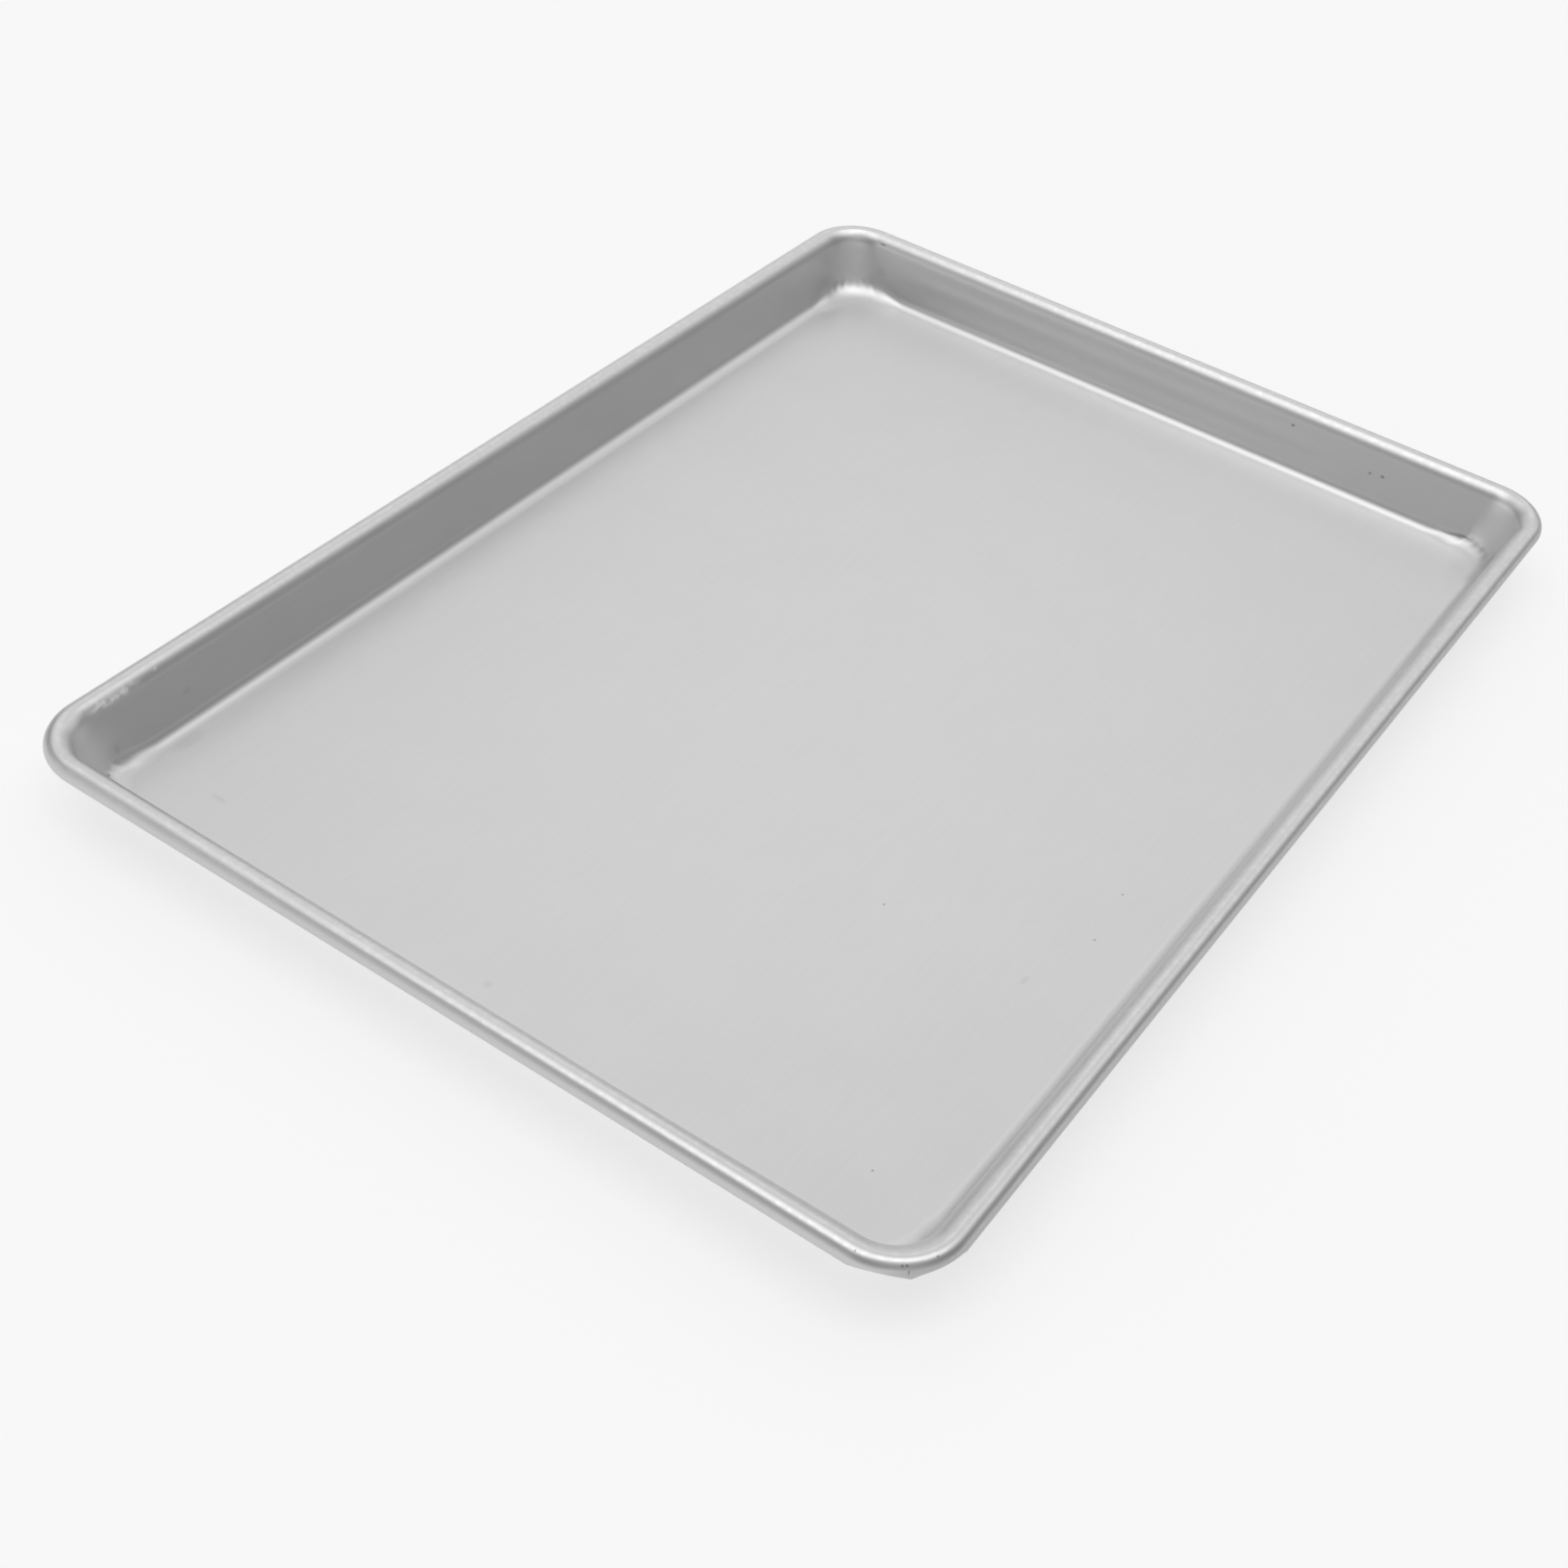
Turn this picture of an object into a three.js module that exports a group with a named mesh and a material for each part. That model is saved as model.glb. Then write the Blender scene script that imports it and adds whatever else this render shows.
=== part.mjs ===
// Half-size sheet pan, the shallow tray that sheet cakes are baked in: floor, sloping wall and rim are pressed
// from one aluminium sheet, and the sheet's edge is rolled out and down round a steel wire that stiffens the rim.
// Millimetres, +Z up. The origin lies under the middle of the floor, and +X runs along the pan's length.

import * as THREE from "three";

// Driving dimensions
const RIM_LENGTH = 454; // over the rolled bead
const RIM_WIDTH = 327; // over the rolled bead
const RIM_CORNER_RADIUS = 22.75; // in plan, at the bead's outer edge
const PAN_HEIGHT = 25.4;
const SHEET = 1; // thickness of the aluminium
const WALL_DRAFT = 15; // degrees that the wall leans out from upright
const FLOOR_FILLET = 5.5; // inside radius between the floor and the straight walls
const FLOOR_CORNER_RADIUS = 22; // in plan, of the flat floor: wide enough to open the fillet out at the corners
const FLARE_RADIUS = 7; // bend at the top of the wall, before the bead
const FLARE_END = 30; // degrees from the bead's top at which the bend runs into the bead's own circle
const CURL_END = 225; // degrees from the bead's top, down the outside, to the sheet's free edge
const MITRE_DEPTH = 0.4; // how far the curl's underside is drawn in, at the middle of each of a corner's two flats
const DEEP_MITRE_DEPTH = 1.4; // the same on the -X -Y corner, where the roll was closed and pressed deeper
const MITRE_START = 100; // degrees from the bead's top at which the flats begin
const MITRE_FULL = 145; // degrees from the bead's top at which they have their full depth
const WIRE_DIAMETER = 4;
const WIRE_ROOM = 0.75; // between the wire and the curl, all round
const WIRE_JOINT = 1.5; // gap between the wire's two ends

// Facets
const CORNER_STEPS = 10; // an even number, so that the crease of a corner falls on its diagonal
const FILLET_STEPS = 5;
const FLARE_STEPS = 3;
const CURL_STEPS = 17;
const WIRE_SIDES = 10;

// The bead's circle runs round the pan on an axis of its own, and insets are measured inwards from that axis
const radians = THREE.MathUtils.degToRad;
const wireRadius = WIRE_DIAMETER / 2;
const beadRadius = wireRadius + WIRE_ROOM + SHEET;
const axisHeight = PAN_HEIGHT - beadRadius;
const axisHalfLength = RIM_LENGTH / 2 - beadRadius;
const axisHalfWidth = RIM_WIDTH / 2 - beadRadius;
const axisCornerRadius = RIM_CORNER_RADIUS - beadRadius;
const wallLean = radians(90 - WALL_DRAFT);

// Stations round the pan, counter-clockwise from the +X side. The mitre is none at the ends and crease of a corner,
// and as deep as it gets at the middle of each half of it.
const stations = [];
for (let quarter = 0; quarter < 4; quarter++) {
  const mitreDepth = quarter === 2 ? DEEP_MITRE_DEPTH : MITRE_DEPTH;
  for (let step = 0; step <= CORNER_STEPS; step++) {
    const alongHalf = ((2 * step) / CORNER_STEPS) % 1;
    stations.push({
      signX: quarter === 0 || quarter === 3 ? 1 : -1,
      signY: quarter < 2 ? 1 : -1,
      angle: radians(90 * (quarter + step / CORNER_STEPS)),
      mitre: mitreDepth * 4 * alongHalf * (1 - alongHalf),
    });
  }
}

// A level loop round the pan: a rounded rectangle whose corners are drawn in to two flats, by a share of the mitre
function loop(inset, height, cornerRadius, drawnIn = 0) {
  return stations.map(({ signX, signY, angle, mitre }) => {
    const radius = cornerRadius - drawnIn * mitre;
    const centreX = signX * (axisHalfLength - inset - cornerRadius);
    const centreY = signY * (axisHalfWidth - inset - cornerRadius);
    return new THREE.Vector3(
      centreX + radius * Math.cos(angle),
      centreY + radius * Math.sin(angle),
      height,
    );
  });
}

// A closed solid through rings of equal length, closed at each end by a fan to one point
function loft(startPoint, rings, endPoint) {
  const count = rings[0].length;
  const points = [startPoint, ...rings.flat(), endPoint];
  const last = points.length - 1;
  const at = (ring, i) => 1 + ring * count + (i % count);
  const triangles = [];
  for (let i = 0; i < count; i++) {
    triangles.push(0, at(0, i), at(0, i + 1));
    for (let ring = 0; ring < rings.length - 1; ring++) {
      triangles.push(at(ring, i), at(ring + 1, i), at(ring + 1, i + 1));
      triangles.push(at(ring, i), at(ring + 1, i + 1), at(ring, i + 1));
    }
    triangles.push(at(rings.length - 1, i), last, at(rings.length - 1, i + 1));
  }
  const geometry = new THREE.BufferGeometry().setFromPoints(points);
  geometry.setIndex(triangles);
  geometry.computeVertexNormals();
  return geometry;
}

// Points of the sheet's section on one arc. The lean is the angle of the sheet's upper face from level, positive where
// it faces the middle of the pan. A negative radius makes the arc hollow.
function arc(centre, radius, fromLean, toLean, steps) {
  return Array.from({ length: steps + 1 }, (_, step) => {
    const lean = THREE.MathUtils.lerp(fromLean, toLean, step / steps);
    return {
      lean,
      inset: centre.inset + radius * Math.sin(lean),
      height: centre.height + radius * Math.cos(lean),
    };
  });
}

// The upper face's section, from the edge of the flat floor up the wall and over the bead to the free edge
function sheetSection() {
  const bead = { inset: 0, height: axisHeight };
  const flareLean = radians(FLARE_END);
  const flare = arc(bead, beadRadius - FLARE_RADIUS, flareLean, flareLean, 1)[0];
  const bend = arc(flare, FLARE_RADIUS, wallLean, flareLean, FLARE_STEPS);
  const curl = arc(bead, beadRadius, flareLean, -radians(CURL_END), CURL_STEPS);
  const filletHeight = SHEET + FLOOR_FILLET;
  const wallDrop = bend[0].height - filletHeight;
  const wallInset = bend[0].inset + wallDrop / Math.tan(wallLean);
  const fillet = { inset: wallInset + FLOOR_FILLET / Math.sin(wallLean), height: filletHeight };
  return [...arc(fillet, -FLOOR_FILLET, 0, wallLean, FILLET_STEPS), ...bend, ...curl.slice(1)];
}

// One of the sheet's two faces as loops, at a depth below its upper face
function sheetFace(section, depth) {
  const lastFillet = section[FILLET_STEPS];
  return section.map(({ lean, inset, height }, index) => {
    const rise = Math.min(index / FILLET_STEPS, 1);
    const cornerRadius =
      index < FILLET_STEPS
        ? THREE.MathUtils.lerp(FLOOR_CORNER_RADIUS, axisCornerRadius - lastFillet.inset, rise)
        : axisCornerRadius - inset;
    const drawnIn = THREE.MathUtils.smoothstep(-lean, radians(MITRE_START), radians(MITRE_FULL));
    const sideways = depth * Math.sin(lean);
    return loop(inset - sideways, height - depth * Math.cos(lean), cornerRadius + sideways, drawnIn);
  });
}

// The pressed sheet: floor, fillet, wall and rolled bead
function panSheet() {
  const section = sheetSection();
  const upper = sheetFace(section, 0);
  const under = sheetFace(section, SHEET).reverse();
  return loft(new THREE.Vector3(0, 0, SHEET), [...upper, ...under], new THREE.Vector3(0, 0, 0));
}

// The wire in the bead: one length bent round the pan, its ends butted in the middle of the +X side. Its corners are
// bent wider than the bead's by the depth of the deepest flats, which keeps it clear of them.
function rimWire() {
  const cornerRadius = axisCornerRadius + Math.max(MITRE_DEPTH, DEEP_MITRE_DEPTH);
  const edges = Array.from({ length: WIRE_SIDES }, (_, side) => {
    const angle = radians((360 * side) / WIRE_SIDES);
    const outwards = wireRadius * Math.cos(angle);
    return loop(-outwards, axisHeight + wireRadius * Math.sin(angle), cornerRadius + outwards);
  });
  const ringAt = (index) => edges.map((edge) => edge[index]);
  const endRing = (y) => edges.map((edge) => new THREE.Vector3(edge[0].x, y, edge[0].z));
  const endCentre = (y) => new THREE.Vector3(axisHalfLength, y, axisHeight);
  const rings = stations.map((_, index) => ringAt(index));
  const half = WIRE_JOINT / 2;
  return loft(endCentre(half), [endRing(half), ...rings, endRing(-half)], endCentre(-half));
}

// Assembly
const satinAluminium = new THREE.MeshStandardMaterial({ color: 0xcdcdce, metalness: 1, roughness: 0.42 });
const galvanisedSteel = new THREE.MeshStandardMaterial({ color: 0x9a9c9e, metalness: 1, roughness: 0.55 });

function part(name, geometry, material) {
  const mesh = new THREE.Mesh(geometry, material);
  mesh.name = name;
  return mesh;
}

const sheetPan = new THREE.Group();
sheetPan.add(part("pan_sheet", panSheet(), satinAluminium));
sheetPan.add(part("rim_wire", rimWire(), galvanisedSteel));

export default sheetPan;
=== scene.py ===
"""A half-size sheet pan in satin aluminium, dressed around its CAD frame."""

import math

import bpy
import numpy as np
from mathutils import Matrix, Vector


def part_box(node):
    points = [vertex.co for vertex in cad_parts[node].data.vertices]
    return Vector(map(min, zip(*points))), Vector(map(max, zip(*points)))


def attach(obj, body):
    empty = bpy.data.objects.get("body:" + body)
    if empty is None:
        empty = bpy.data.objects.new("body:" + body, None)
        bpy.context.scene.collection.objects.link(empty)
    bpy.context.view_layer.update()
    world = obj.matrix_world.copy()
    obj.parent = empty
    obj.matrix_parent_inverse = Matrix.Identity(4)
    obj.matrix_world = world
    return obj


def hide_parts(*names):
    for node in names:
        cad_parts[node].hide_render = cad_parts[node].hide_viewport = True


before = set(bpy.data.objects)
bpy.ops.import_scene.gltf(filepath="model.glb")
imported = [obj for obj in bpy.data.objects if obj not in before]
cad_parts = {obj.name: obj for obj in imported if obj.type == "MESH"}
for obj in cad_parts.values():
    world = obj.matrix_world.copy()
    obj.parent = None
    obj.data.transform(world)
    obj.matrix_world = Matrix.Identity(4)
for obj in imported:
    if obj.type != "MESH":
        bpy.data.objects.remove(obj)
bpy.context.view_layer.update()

# Sizes of the pressed sheet and the wire, in metres and degrees
MM = 0.001
SHEET = 1 * MM
BEAD_RADIUS = 3.75 * MM
RIM_CORNER_RADIUS = 22.75 * MM
WALL_DRAFT = 15
FLOOR_FILLET = 5.5 * MM
FLARE_RADIUS = 7 * MM
FLARE_END = 30
CURL_END = 225
WIRE_RADIUS = 2 * MM
WIRE_CORNER_RADIUS = 20.4 * MM
WIRE_JOINT = 1.5 * MM

# The corners in plan are concentric on the bead. From an inset on they ease to one radius, which the wall and
# fillet keep down to the floor.
EASE_START = 1.5 * MM
EASE_WIDTH = 5 * MM

# How the corners differ from the sides, counter-clockwise from the +X +Y corner: the floor fillet opens out
# and the curl's underside is drawn in to two flats. The flats start, and have their full depth, at angles from
# the bead's top. The -X -Y corner was pressed hardest: its flats start higher and its rim is flatter on top.
CORNER_SIGNS = np.array([(1, 1), (-1, 1), (-1, -1), (1, -1)])
CORNER_FILLETS = np.array([10, 8, 8, 8]) * MM
CORNER_RUN_OUT = 13 * MM
MITRE_DEPTHS = np.array([0.4, 0.4, 1.2, 0.4]) * MM
MITRE_STARTS = np.radians([100, 100, 75, 100])
MITRE_FULLS = np.radians([145, 145, 120, 145])
CORNER_FLARE_ENDS = np.array([30, 30, 15, 30])
FLARE_RUN_OUT = 80 * MM

# Small puckers that the press left round the corners, where the wall meets the fillet
PUCKER_DEPTH = 0.07 * MM
PUCKERS = 6
PUCKER_LEANS = (35, 60, 75)

# A shallow wave that the press left along the +X wall. It fades to the wall's upper and lower edges and,
# between two places on y, towards each end.
WAVE_DEPTH = 0.08 * MM
WAVE_LENGTH = 9 * MM
WAVE_HEIGHT = 14 * MM
WAVE_ENDS = ((-110 * MM, -20 * MM), (140 * MM, 115 * MM))

# Fineness of the meshes
CORNER_STEPS = 60
RUN_OUT_STEPS = 8
SIDE_STEPS = 20
FLOOR_STEPS = 16
FILLET_STEPS = 24
WALL_STEPS = 24
FLARE_STEPS = 12
CURL_STEPS = 64
WIRE_SIDES = 24
SHARP_ANGLE = 30

# The bead's axis, from the frame's box
sheet_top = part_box("pan_sheet")[1]
axis_height = sheet_top.z - BEAD_RADIUS
axis_half_length = sheet_top.x - BEAD_RADIUS
axis_half_width = sheet_top.y - BEAD_RADIUS
axis_corner = RIM_CORNER_RADIUS - BEAD_RADIUS
wall_lean = math.radians(90 - WALL_DRAFT)


def smoothstep(value, low, high):
    share = np.clip((value - low) / (high - low), 0, 1)
    return share * share * (3 - 2 * share)


def side_stops(length):
    """Distances along a straight side from one corner to the next, closest together beside the corners."""
    run_out = np.linspace(0, CORNER_RUN_OUT, RUN_OUT_STEPS + 1)[1:-1]
    middle = np.linspace(CORNER_RUN_OUT, length - CORNER_RUN_OUT, SIDE_STEPS + 1)
    return np.concatenate([run_out, middle, length - run_out[::-1]])


def round_the_pan():
    """Stations counter-clockwise from the +X side's end: the nearest corner, the share of its turn, the
    distance past it, the quarter turns made, and the place between the corners' middles along x and y, from
    -1 to 1."""
    side_lengths = 2 * np.array([axis_half_length - axis_corner, axis_half_width - axis_corner])
    stations = []
    for corner in range(4):
        following = (corner + 1) % 4
        here, there = CORNER_SIGNS[corner], CORNER_SIGNS[following]
        for turn in np.linspace(0, 1, CORNER_STEPS + 1):
            stations.append((corner, turn, 0, corner + turn, *here))
        length = side_lengths[corner % 2]
        for stop in side_stops(length):
            nearest = corner if stop < length / 2 else following
            past = min(stop, length - stop)
            stations.append((nearest, 0, past, corner + 1, *(here + (there - here) * stop / length)))
    return np.array(stations).T


NEAREST, TURN, PAST, QUARTERS, SHARE_X, SHARE_Y = round_the_pan()
NEAREST = NEAREST.astype(int)
ANGLE = np.radians(90 * QUARTERS)


def corner_radius(inset):
    """The plan radius of the corners at an inset from the bead's axis."""
    past = inset - EASE_START
    eased = EASE_WIDTH / 2 * np.clip(past / EASE_WIDTH, 0, 1) ** 2
    return axis_corner - inset + eased + np.maximum(past - EASE_WIDTH, 0)


def loop(inset, height, radius, drawn_in=0):
    """A rounded rectangle, inset from the bead's axis, with its corners drawn in to two flats."""
    along_half = (2 * TURN) % 1
    flats = MITRE_DEPTHS[NEAREST] * 4 * along_half * (1 - along_half)
    x = SHARE_X * (axis_half_length - inset - radius) + (radius - drawn_in * flats) * np.cos(ANGLE)
    y = SHARE_Y * (axis_half_width - inset - radius) + (radius - drawn_in * flats) * np.sin(ANGLE)
    return np.stack([x, y, np.broadcast_to(height, x.shape)], axis=1)


def arc(centre, radius, from_lean, to_lean, steps):
    """Leans, insets and heights on an arc of the section, at each station. A negative radius makes the arc
    hollow."""
    first = np.broadcast_to(from_lean, PAST.shape)
    last = np.broadcast_to(to_lean, PAST.shape)
    lean = np.linspace(first, last, steps + 1)
    return np.stack([lean, centre[0] + radius * np.sin(lean), centre[1] + radius * np.cos(lean)])


def press_wave(height):
    """How far the +X wall stands in at each of some heights and stations."""
    along = SHARE_Y * (axis_half_width - axis_corner)
    share = np.where(QUARTERS == 4, 1, 0)
    for faded, full in WAVE_ENDS:
        share = share * smoothstep(along, faded, full)
    share = share * np.sin(math.pi * np.linspace(0, 1, len(height)))[:, None]
    return WAVE_DEPTH * share * np.cos(2 * math.pi * (height - WAVE_HEIGHT) / WAVE_LENGTH)


def sheet_section():
    """The upper face's section at each station, from the flat floor's edge over the bead to the free edge."""
    in_corner = smoothstep(PAST, CORNER_RUN_OUT, 0)
    near_corner = smoothstep(PAST, FLARE_RUN_OUT, 0)
    flare_lean = np.radians(FLARE_END + (CORNER_FLARE_ENDS[NEAREST] - FLARE_END) * near_corner)
    bead = (0, axis_height)
    flare = arc(bead, BEAD_RADIUS - FLARE_RADIUS, flare_lean, flare_lean, 0)[1:, 0]
    bend = arc(flare, FLARE_RADIUS, wall_lean, flare_lean, FLARE_STEPS)
    curl = arc(bead, BEAD_RADIUS, flare_lean, -math.radians(CURL_END), CURL_STEPS)
    fillet_radius = FLOOR_FILLET + (CORNER_FILLETS[NEAREST] - FLOOR_FILLET) * in_corner
    fillet_height = SHEET + fillet_radius
    wall_inset = bend[1, 0] + (bend[2, 0] - fillet_height) / math.tan(wall_lean)
    fillet_centre = (wall_inset + fillet_radius / math.sin(wall_lean), fillet_height)
    fillet = arc(fillet_centre, -fillet_radius, 0, wall_lean, FILLET_STEPS)
    low, middle, high = np.radians(PUCKER_LEANS)
    pucker_band = smoothstep(fillet[0], low, middle) * smoothstep(fillet[0], high, middle)
    fillet[1] += PUCKER_DEPTH * pucker_band * np.sin(2 * math.pi * PUCKERS * TURN)
    wall = np.linspace(fillet[:, -1], bend[:, 0], WALL_STEPS + 1, axis=1)[:, 1:-1]
    wall[1] += press_wave(wall[2])
    return np.concatenate([fillet, wall, bend, curl[:, 1:]], axis=1)


def sheet_face(section, depth):
    """One of the sheet's two faces as loops, at a depth below its upper face."""
    lean, inset, height = section
    drawn_in = smoothstep(-lean, MITRE_STARTS[NEAREST], MITRE_FULLS[NEAREST])
    sideways = depth * np.sin(lean)
    rows = zip(inset - sideways, height - depth * np.cos(lean), corner_radius(inset) + sideways, drawn_in)
    loops = [loop(*row) for row in rows]
    edge = loops[0]
    middle = np.array([0, 0, edge[0, 2]])
    floor = [middle + (edge - middle) * step / FLOOR_STEPS for step in range(1, FLOOR_STEPS)]
    return floor + loops


def loft(name, start, rings, end):
    """A closed mesh through rings of equal length, with a fan to one point at each end."""
    count = len(rings[0])
    points = np.concatenate([[start], *rings, [end]])
    here = np.arange(count)
    following = np.roll(here, -1)
    faces = [(0, 1 + i, 1 + following[i]) for i in here]
    for ring in range(len(rings) - 1):
        near = 1 + ring * count
        far = near + count
        faces += [(near + i, far + i, far + following[i], near + following[i]) for i in here]
    last_ring = 1 + (len(rings) - 1) * count
    faces += [(last_ring + i, len(points) - 1, last_ring + following[i]) for i in here]
    mesh = bpy.data.meshes.new(name)
    mesh.from_pydata(points.tolist(), [], [tuple(int(i) for i in face) for face in faces])
    mesh.validate()
    mesh.shade_smooth()
    mesh.set_sharp_from_angle(angle=math.radians(SHARP_ANGLE))
    piece = bpy.data.objects.new(name, mesh)
    bpy.context.scene.collection.objects.link(piece)
    return piece


def pressed_sheet():
    """Floor, fillet, wall and rolled bead, all one sheet."""
    section = sheet_section()
    upper = sheet_face(section, 0)
    under = sheet_face(section, SHEET)[::-1]
    return loft("pressed_sheet", (0, 0, SHEET), upper + under, (0, 0, 0))


def bead_wire():
    """The wire in the bead, with its two ends butted in the middle of the +X side."""
    edges = []
    for side in range(WIRE_SIDES):
        angle = 2 * math.pi * side / WIRE_SIDES
        outwards = WIRE_RADIUS * math.cos(angle)
        height = axis_height + WIRE_RADIUS * math.sin(angle)
        edges.append(loop(-outwards, height, WIRE_CORNER_RADIUS + outwards))
    rings = list(np.stack(edges, axis=1))
    half = WIRE_JOINT / 2
    first_ring, last_ring = rings[0].copy(), rings[0].copy()
    first_ring[:, 1] = half
    last_ring[:, 1] = -half
    last_turn = np.flatnonzero(TURN == 1)[-1]
    rings = [first_ring] + rings[:last_turn + 1] + [last_ring]
    start = (axis_half_length, half, axis_height)
    end = (axis_half_length, -half, axis_height)
    return loft("bead_wire", start, rings, end)


class Graph:
    """A node tree, with short ways to add nodes and feed their sockets with numbers or with other nodes."""

    def __init__(self, tree):
        self.tree = tree
        tree.nodes.clear()

    def add(self, kind, inputs, output=0, **settings):
        """Adds a node and gives one of its output sockets."""
        node = self.tree.nodes.new("ShaderNode" + kind)
        for name, value in settings.items():
            setattr(node, name, value)
        for socket, value in inputs.items():
            if isinstance(value, bpy.types.NodeSocket):
                self.tree.links.new(value, node.inputs[socket])
            else:
                node.inputs[socket].default_value = value
        return node.outputs[output] if node.outputs else None

    def chain(self, operation, *values):
        """One math operation from the first value to the last."""
        result = values[0]
        for value in values[1:]:
            result = self.add("Math", {0: result, 1: value}, operation=operation)
        return result

    def remap(self, value, low, high, to_low, to_high):
        """A smooth step from one number to another as a value rises from low to high."""
        inputs = {"Value": value, "From Min": low, "From Max": high, "To Min": to_low, "To Max": to_high}
        return self.add("MapRange", inputs, interpolation_type="SMOOTHSTEP")

    def noise(self, place, per_metre, detail=2.0):
        """Noise with so many lumps to a metre along x, y and z."""
        stretched = self.add("VectorMath", {0: place, 1: per_metre}, operation="MULTIPLY")
        return self.add("TexNoise", {"Vector": stretched, "Scale": 1.0, "Detail": detail})

    def spots(self, place, marks):
        """Where several soft marks lie, each given by its middle and its reach along x, y and z."""
        found = []
        for middle, reach in marks:
            offset = self.add("VectorMath", {0: place, 1: Vector(middle) * MM}, operation="SUBTRACT")
            share = self.add("VectorMath", {0: offset, 1: Vector(reach) * MM}, operation="DIVIDE")
            distance = self.add("VectorMath", {0: share}, "Value", operation="LENGTH")
            found.append(self.remap(distance, MARK_CORE, 1.0, 1.0, 0.0))
        return self.chain("MAXIMUM", *found)


def new_graph(name):
    material = bpy.data.materials.new(name)
    material.use_nodes = True
    return material, Graph(material.node_tree)


# Marks on the sheet: middle and reach along x, y and z, in millimetres. They fade over the outer part of
# their reach, from a share of it on.
MARK_CORE = 0.2
# Dark specks; some of them are painted shade in creases, as noted below.
SPECKS_AND_PAINTED_CREASE_SHADE = [
    ((-183.5, -123.3, 1), (0.6, 0.6, 1)),
    ((-43, -125.3, 1), (0.6, 0.6, 1)),
    ((-66.2, -128.1, 1), (0.6, 0.6, 1)),
    ((-94.9, -69.5, 1), (0.6, 0.6, 1)),
    ((217.6, -57.1, 18.8), (1, 1.2, 0.9)),
    ((216, -92.5, 13.1), (1, 1, 0.7)),
    ((216.2, -97.6, 13.6), (1, 1.3, 0.9)),
    ((219, 138, 22.5), (0.8, 2.4, 0.55)),
    ((-221.2, -153.9, 24.5), (0.6, 0.6, 0.6)),
    ((-220.4, -154.8, 24.5), (0.6, 0.6, 0.6)),
    # Painted shade along the crease between the flats of the -X -Y corner
    ((-220.8, -155.8, 22.4), (0.5, 0.5, 2.2)),
    ((-225, -142.1, 25), (0.5, 0.5, 0.5)),
    ((-213.4, -159.5, 24.9), (0.5, 0.5, 0.5)),
    # Painted shade in the crease at the foot of the -X +Y corner
    ((-205.2, 147.2, 4.4), (2, 1, 1)),
    # Painted shade: a dark line along the crease above the fillet in the +X -Y corner
    ((212.6, -129, 3.8), (1.2, 5, 0.5)),
    ((213, -132, 4.3), (1.2, 5, 0.5)),
    ((213.2, -135, 4.9), (1.2, 5, 0.5)),
]
# Smudges; one of them is painted shade on the floor beside the +Y wall's fillet.
SMUDGES_AND_PAINTED_SHADE = [
    ((-196.7, 2.1, 1), (2.4, 2.4, 2)),
    # Painted shade: the darker floor beside the +Y wall's fillet, near the -X +Y corner
    ((-176.2, 143.8, 1), (10, 4, 3)),
    ((-189.4, 117.1, 1), (1.4, 5, 2)),
    ((-94.8, -119.8, 1), (3, 1.5, 2)),
    ((-198.3, 151, 7.7), (1.4, 2, 3.6)),
    ((-167.5, 152.2, 11.7), (3, 2, 2)),
    ((-225.6, 140.7, 24.5), (1.2, 1.4, 1)),
    ((215.7, 135.4, 11.7), (2, 3, 3)),
]
# Scuffs, rougher and painted brighter as a painted highlight. The nick on the -X +Y corner's bead and the two
# pinches at that corner's fillet are painted highlights.
SCUFFS_AND_PAINTED_HIGHLIGHTS = [
    ((-194, 155.8, 23.1), (16, 2.6, 2.4)),
    ((-175.5, 155.9, 23.8), (1.4, 1.2, 1.2)),
    ((-224, 142.2, 25.2), (1.7, 0.8, 0.9)),
    ((-204, 146.8, 2.5), (2, 0.8, 0.8)),
    ((-200, 147.5, 2.6), (2.4, 0.8, 0.8)),
]

# Where the wall was stretched round the corners, which left it duller
DRAWN_CORNERS = [((sign_x * 213, sign_y * 149, 13), (24, 24, 11)) for sign_x, sign_y in CORNER_SIGNS]

ALUMINIUM = (0.8, 0.8, 0.8)
SATIN = 0.36

# Patterns in the sheet's surface, in lumps to a metre along x, y and z
GRAIN = (70, 2600, 2600)
MOTTLE = (30, 30, 30)
STREAKS = (5, 5, 280)
RUB = (400, 400, 400)
SCRATCHES = ((9, 900, 1), (900, 9, 1))
GRAIN_DEPTH = 0.002 * MM
STREAK_DEPTH = 0.04 * MM

# Between which levels of a pattern its effect sets in
MOTTLED_AT = (0.3, 0.7)
RUBBED_AT = (0.4, 0.7)
SCUFFED_AT = (0.4, 0.6)
LEAST_SCUFFED = 0.4
SCRATCHED_AT = (0.6, 0.7)

# Between which heights the base ends, how far a face has to look out to turn rougher and take painted shade,
# and how far towards -Y and away from upright it has to look to take more painted shade
BASE_ENDS_AT = (0.2 * MM, 0.6 * MM)
FACING_OUT = (0.4, 0.95)
FACING_MINUS_Y = (-0.2, -0.7)
FACING_SIDEWAYS = (0.7, 0.2)

# What each effect does at its full: a factor on the metal's brightness, or an amount on its roughness
MOTTLE_BRIGHTNESS = (0.99, 1.01)
MOTTLE_ROUGHNESS = (SATIN - 0.01, SATIN + 0.01)
RUBBED_BRIGHTNESS = (0.99, 1.04)
# Painted shade: brightness factors for faces that look outwards, and lower still for sideways faces towards -Y
OUTSIDE_PAINTED_SHADE = 0.82
MINUS_Y_PAINTED_SHADE = 0.8
# Painted highlight: how much brighter the scuffs, the nick and the pinches are painted
SCUFF_PAINTED_HIGHLIGHT = 1.25
# Darkness of the specks, and of the painted crease shade among them
SPECK_AND_CREASE_SHADE_BRIGHTNESS = 0.55
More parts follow.
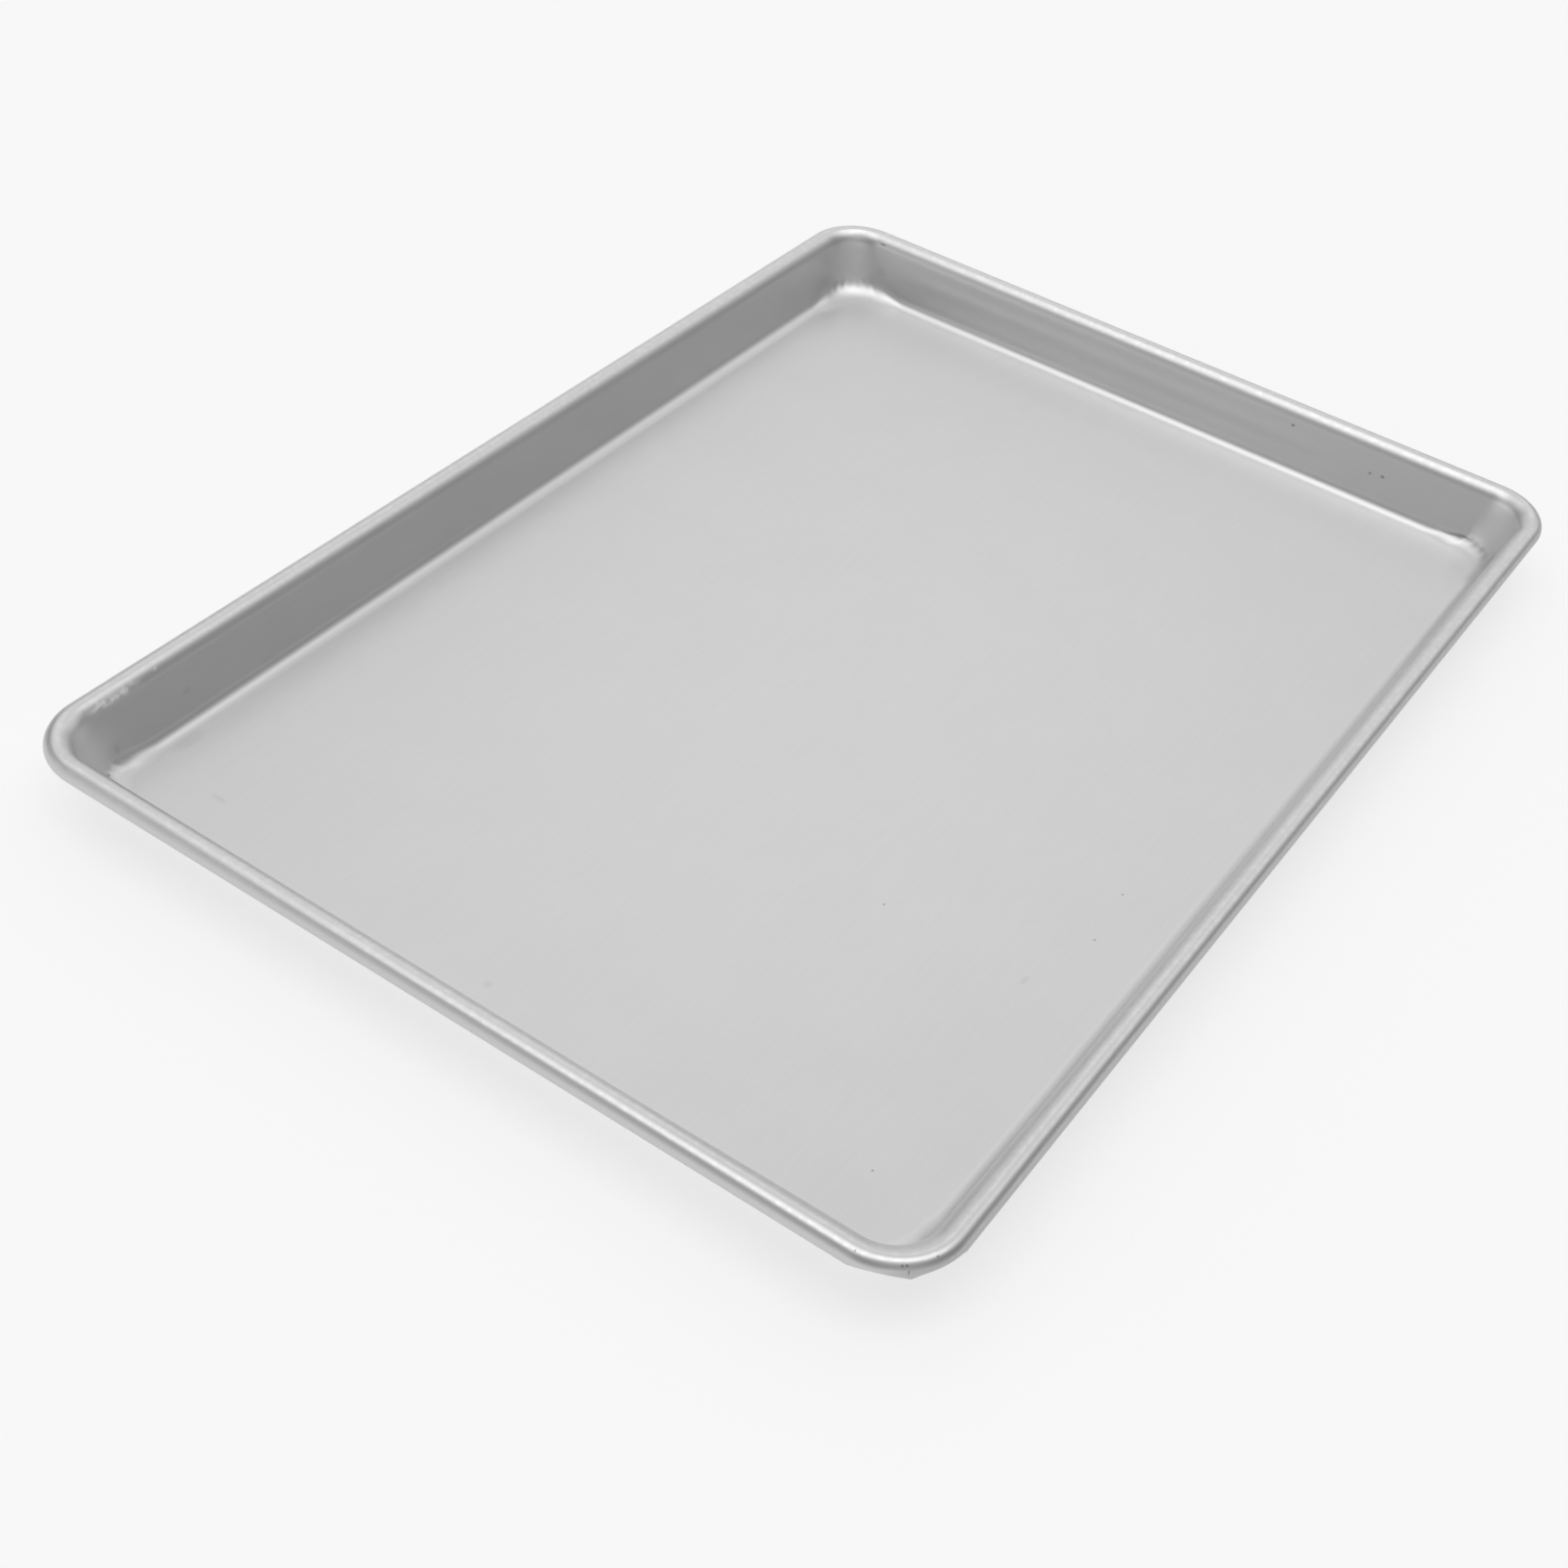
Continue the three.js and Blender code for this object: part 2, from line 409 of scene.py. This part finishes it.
# Darkness of the smudges, and of the painted shade among them
SMUDGE_AND_SHADE_BRIGHTNESS = 0.93
RUBBED_ROUGHNESS = -0.04
DULL_ROUGHNESS = 0.08
SCRATCHED_ROUGHNESS = 0.1
SCUFFED_ROUGHNESS = 0.3
DRAWN_ROUGHNESS = 0.25


def satin_aluminium():
    """Rolled sheet: grain along the pan, press streaks on the wall, duller corners, a duller outside darkened
    with painted shade and more on the -Y side, a rubbed bead, a scratched base, and marks, some painted shade
    or highlights."""
    material, graph = new_graph("satin_aluminium")
    place = graph.add("TexCoord", {}, "Object")
    facing = graph.add("TexCoord", {}, "Normal")
    height = graph.add("SeparateXYZ", {0: place}, "Z")
    to_rim = (1 / axis_half_length, 1 / axis_half_width, 0)
    outwards = graph.add("VectorMath", {0: place, 1: to_rim}, operation="MULTIPLY")
    facing_out = graph.add("VectorMath", {0: facing, 1: outwards}, "Value", operation="DOT_PRODUCT")
    grain = graph.noise(place, GRAIN)
    mottle = graph.noise(place, MOTTLE, 4.0)
    streaks = graph.noise(place, STREAKS, 1.0)
    rub = graph.noise(place, RUB, 3.0)
    scratches = graph.chain("MAXIMUM", *[graph.noise(place, scratch) for scratch in SCRATCHES])
    on_bead = graph.remap(height, axis_height, axis_height + BEAD_RADIUS, 0.0, 1.0)
    on_base = graph.remap(height, *BASE_ENDS_AT, 1.0, 0.0)
    facing_y = graph.add("SeparateXYZ", {0: facing}, "Y")
    facing_up = graph.add("SeparateXYZ", {0: facing}, "Z")
    # Faces that look outwards are rougher and take painted shade
    outside_dull_and_painted_shade = graph.remap(facing_out, *FACING_OUT, 0.0, 1.0)
    # Sideways faces towards -Y take more painted shade
    to_minus_y = graph.remap(facing_y, *FACING_MINUS_Y, 0.0, 1.0)
    sideways = graph.remap(facing_up, *FACING_SIDEWAYS, 0.0, 1.0)
    minus_y_painted_shade = graph.chain("MULTIPLY", outside_dull_and_painted_shade, to_minus_y, sideways)
    rubbed = graph.chain("MULTIPLY", on_bead, graph.remap(rub, *RUBBED_AT, 0.0, 1.0))
    scratched = graph.chain("MULTIPLY", on_base, graph.remap(scratches, *SCRATCHED_AT, 0.0, 1.0))
    broken = graph.remap(rub, *SCUFFED_AT, LEAST_SCUFFED, 1.0)
    # Scuffs are rougher and carry a painted highlight
    scuff_and_painted_highlight = graph.chain("MULTIPLY", graph.spots(place, SCUFFS_AND_PAINTED_HIGHLIGHTS), broken)
    brightness = graph.chain(
        "MULTIPLY",
        graph.remap(mottle, *MOTTLED_AT, *MOTTLE_BRIGHTNESS),
        graph.remap(grain, *MOTTLED_AT, *MOTTLE_BRIGHTNESS),
        graph.remap(rubbed, 0.0, 1.0, *RUBBED_BRIGHTNESS),
        # painted shade on the outside faces, and more on the -Y side
        graph.remap(outside_dull_and_painted_shade, 0.0, 1.0, 1.0, OUTSIDE_PAINTED_SHADE),
        graph.remap(minus_y_painted_shade, 0.0, 1.0, 1.0, MINUS_Y_PAINTED_SHADE),
        # painted highlight on the scuffs, the nick and the pinches
        graph.remap(scuff_and_painted_highlight, 0.0, 1.0, 1.0, SCUFF_PAINTED_HIGHLIGHT),
        # dark specks, some of them painted shade in creases
        graph.remap(graph.spots(place, SPECKS_AND_PAINTED_CREASE_SHADE), 0.0, 1.0, 1.0, SPECK_AND_CREASE_SHADE_BRIGHTNESS),
        # smudges, and painted shade beside the +Y wall's fillet
        graph.remap(graph.spots(place, SMUDGES_AND_PAINTED_SHADE), 0.0, 1.0, 1.0, SMUDGE_AND_SHADE_BRIGHTNESS),
    )
    roughness = graph.chain(
        "ADD",
        graph.remap(mottle, *MOTTLED_AT, *MOTTLE_ROUGHNESS),
        graph.remap(rubbed, 0.0, 1.0, 0.0, RUBBED_ROUGHNESS),
        graph.remap(outside_dull_and_painted_shade, 0.0, 1.0, 0.0, DULL_ROUGHNESS),
        graph.remap(scratched, 0.0, 1.0, 0.0, SCRATCHED_ROUGHNESS),
        graph.remap(scuff_and_painted_highlight, 0.0, 1.0, 0.0, SCUFFED_ROUGHNESS),
        graph.remap(graph.spots(place, DRAWN_CORNERS), 0.0, 1.0, 0.0, DRAWN_ROUGHNESS),
    )
    colour = graph.add("VectorMath", {0: ALUMINIUM, "Scale": brightness}, operation="SCALE")
    fine = graph.add("Bump", {"Height": grain, "Distance": GRAIN_DEPTH})
    normal = graph.add("Bump", {"Height": streaks, "Distance": STREAK_DEPTH, "Normal": fine})
    look = {"Base Color": colour, "Metallic": 1.0, "Roughness": roughness, "Normal": normal}
    graph.add("OutputMaterial", {"Surface": graph.add("BsdfPrincipled", look)})
    return material


ZINC = (0.5, 0.51, 0.52)
SPANGLES = 700.0
SPANGLE_BRIGHTNESS = (0.85, 1.1)
SPANGLE_ROUGHNESS = (0.42, 0.6)


def galvanised_steel():
    """Zinc-coated wire with small spangles."""
    material, graph = new_graph("galvanised_steel")
    place = graph.add("TexCoord", {}, "Object")
    spangle = graph.add("TexVoronoi", {"Vector": place, "Scale": SPANGLES}, "Color")
    shade = graph.add("SeparateColor", {0: spangle}, "Red")
    brightness = graph.remap(shade, 0.0, 1.0, *SPANGLE_BRIGHTNESS)
    roughness = graph.remap(shade, 0.0, 1.0, *SPANGLE_ROUGHNESS)
    colour = graph.add("VectorMath", {0: ZINC, "Scale": brightness}, operation="SCALE")
    look = {"Base Color": colour, "Metallic": 1.0, "Roughness": roughness}
    graph.add("OutputMaterial", {"Surface": graph.add("BsdfPrincipled", look)})
    return material


sheet_piece = pressed_sheet()
sheet_piece.data.materials.append(satin_aluminium())
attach(sheet_piece, "root")
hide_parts("pan_sheet")

wire_piece = bead_wire()
wire_piece.data.materials.append(galvanised_steel())
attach(wire_piece, "root")
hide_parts("rim_wire")

# White table, with a glow that the camera and reflections see
TABLE_SIZE = 8
TABLE_WHITE = (0.4, 0.4, 0.4, 1)
TABLE_GLOW = 0.66


def white_table():
    material, graph = new_graph("white_table")
    path = graph.add("LightPath", {}).node.outputs
    seen = graph.chain("MAXIMUM", path["Is Camera Ray"], path["Is Glossy Ray"], path["Is Transmission Ray"])
    glow = graph.add("Emission", {"Strength": graph.chain("MULTIPLY", seen, TABLE_GLOW)})
    paint = graph.add("BsdfDiffuse", {"Color": TABLE_WHITE})
    graph.add("OutputMaterial", {"Surface": graph.add("AddShader", {0: paint, 1: glow})})
    half = TABLE_SIZE / 2
    mesh = bpy.data.meshes.new("table")
    corners = [(-half, -half, 0), (half, -half, 0), (half, half, 0), (-half, half, 0)]
    mesh.from_pydata(corners, [], [(0, 1, 2, 3)])
    mesh.materials.append(material)
    table = bpy.data.objects.new("table", mesh)
    bpy.context.scene.collection.objects.link(table)
    return table


white_table()

# Studio light: a fill that falls off towards the zenith, and soft panels. Each panel has its azimuth from +X
# towards +Y, its elevation, the angles from its middle at which it starts to fade and is gone, and its
# strength.
FILL_AT_HORIZON = 0.28
FILL_AT_ZENITH = 0.15
PANELS = {
    "far": (35, 25, 10, 40, 0.45),
    "far left": (85, 50, 0, 22, 0.6),
    "left, low": (130, -5, 20, 52, 0.45),
    "left": (136, 13, 0, 20, 0.2),
    "left overhead": (145, 60, 0, 22, 1.2),
    "overhead": (155, 85, 5, 25, 0.7),
    "near, low": (213, -5, 5, 25, 1.0),
    "near": (225, 50, 5, 27, 0.3),
    "near right": (250, 8, 0, 30, 0.25),
    "right overhead": (300, 70, 5, 25, 0.9),
    "right": (340, 30, 0, 26, 0.45),
    "far overhead": (5, 70, 25, 50, 0.34),
}


def studio_light():
    world = bpy.data.worlds.new("studio")
    world.use_nodes = True
    graph = Graph(world.node_tree)
    direction = graph.add("TexCoord", {}, "Generated")
    height = graph.add("SeparateXYZ", {0: direction}, "Z")
    lights = [graph.add("MapRange", {"Value": height, "To Min": FILL_AT_HORIZON, "To Max": FILL_AT_ZENITH})]
    for azimuth, elevation, core, reach, strength in PANELS.values():
        towards = Vector((math.cos(math.radians(elevation)), 0, math.sin(math.radians(elevation))))
        towards.rotate(Matrix.Rotation(math.radians(azimuth), 3, "Z"))
        facing = graph.add("VectorMath", {0: direction, 1: towards}, "Value", operation="DOT_PRODUCT")
        gone = math.cos(math.radians(reach))
        full = math.cos(math.radians(core))
        lights.append(graph.remap(facing, gone, full, 0.0, strength))
    background = graph.add("Background", {"Color": (1, 1, 1, 1), "Strength": graph.chain("ADD", *lights)})
    graph.add("OutputWorld", {"Surface": background})
    return world


bpy.context.scene.world = studio_light()
bpy.context.scene.view_settings.view_transform = "Standard"

# Camera, solved from the outlines in the photograph
PHOTO_PIXELS = 1630
FOCAL_PIXELS = 2348.4
PRINCIPAL_POINT = (842.25, 818.4)
SENSOR = 36
CAMERA_PLACE = (-539.5 * MM, -292.65 * MM, axis_height + 465.2 * MM)
CAMERA_HEADING = 29.757
CAMERA_TILT = 41.65
CAMERA_ROLL = 7.02


def photo_camera():
    lens = bpy.data.cameras.new("camera")
    lens.sensor_width = SENSOR
    lens.lens = SENSOR * FOCAL_PIXELS / PHOTO_PIXELS
    lens.shift_x = (PHOTO_PIXELS / 2 - PRINCIPAL_POINT[0]) / PHOTO_PIXELS
    lens.shift_y = (PRINCIPAL_POINT[1] - PHOTO_PIXELS / 2) / PHOTO_PIXELS
    camera = bpy.data.objects.new("camera", lens)
    bpy.context.scene.collection.objects.link(camera)
    heading = Matrix.Rotation(math.radians(CAMERA_HEADING - 90), 4, "Z")
    tilt = Matrix.Rotation(math.radians(90 - CAMERA_TILT), 4, "X")
    roll = Matrix.Rotation(math.radians(CAMERA_ROLL), 4, "Z")
    camera.matrix_world = Matrix.Translation(CAMERA_PLACE) @ heading @ tilt @ roll
    return camera


bpy.context.scene.camera = photo_camera()
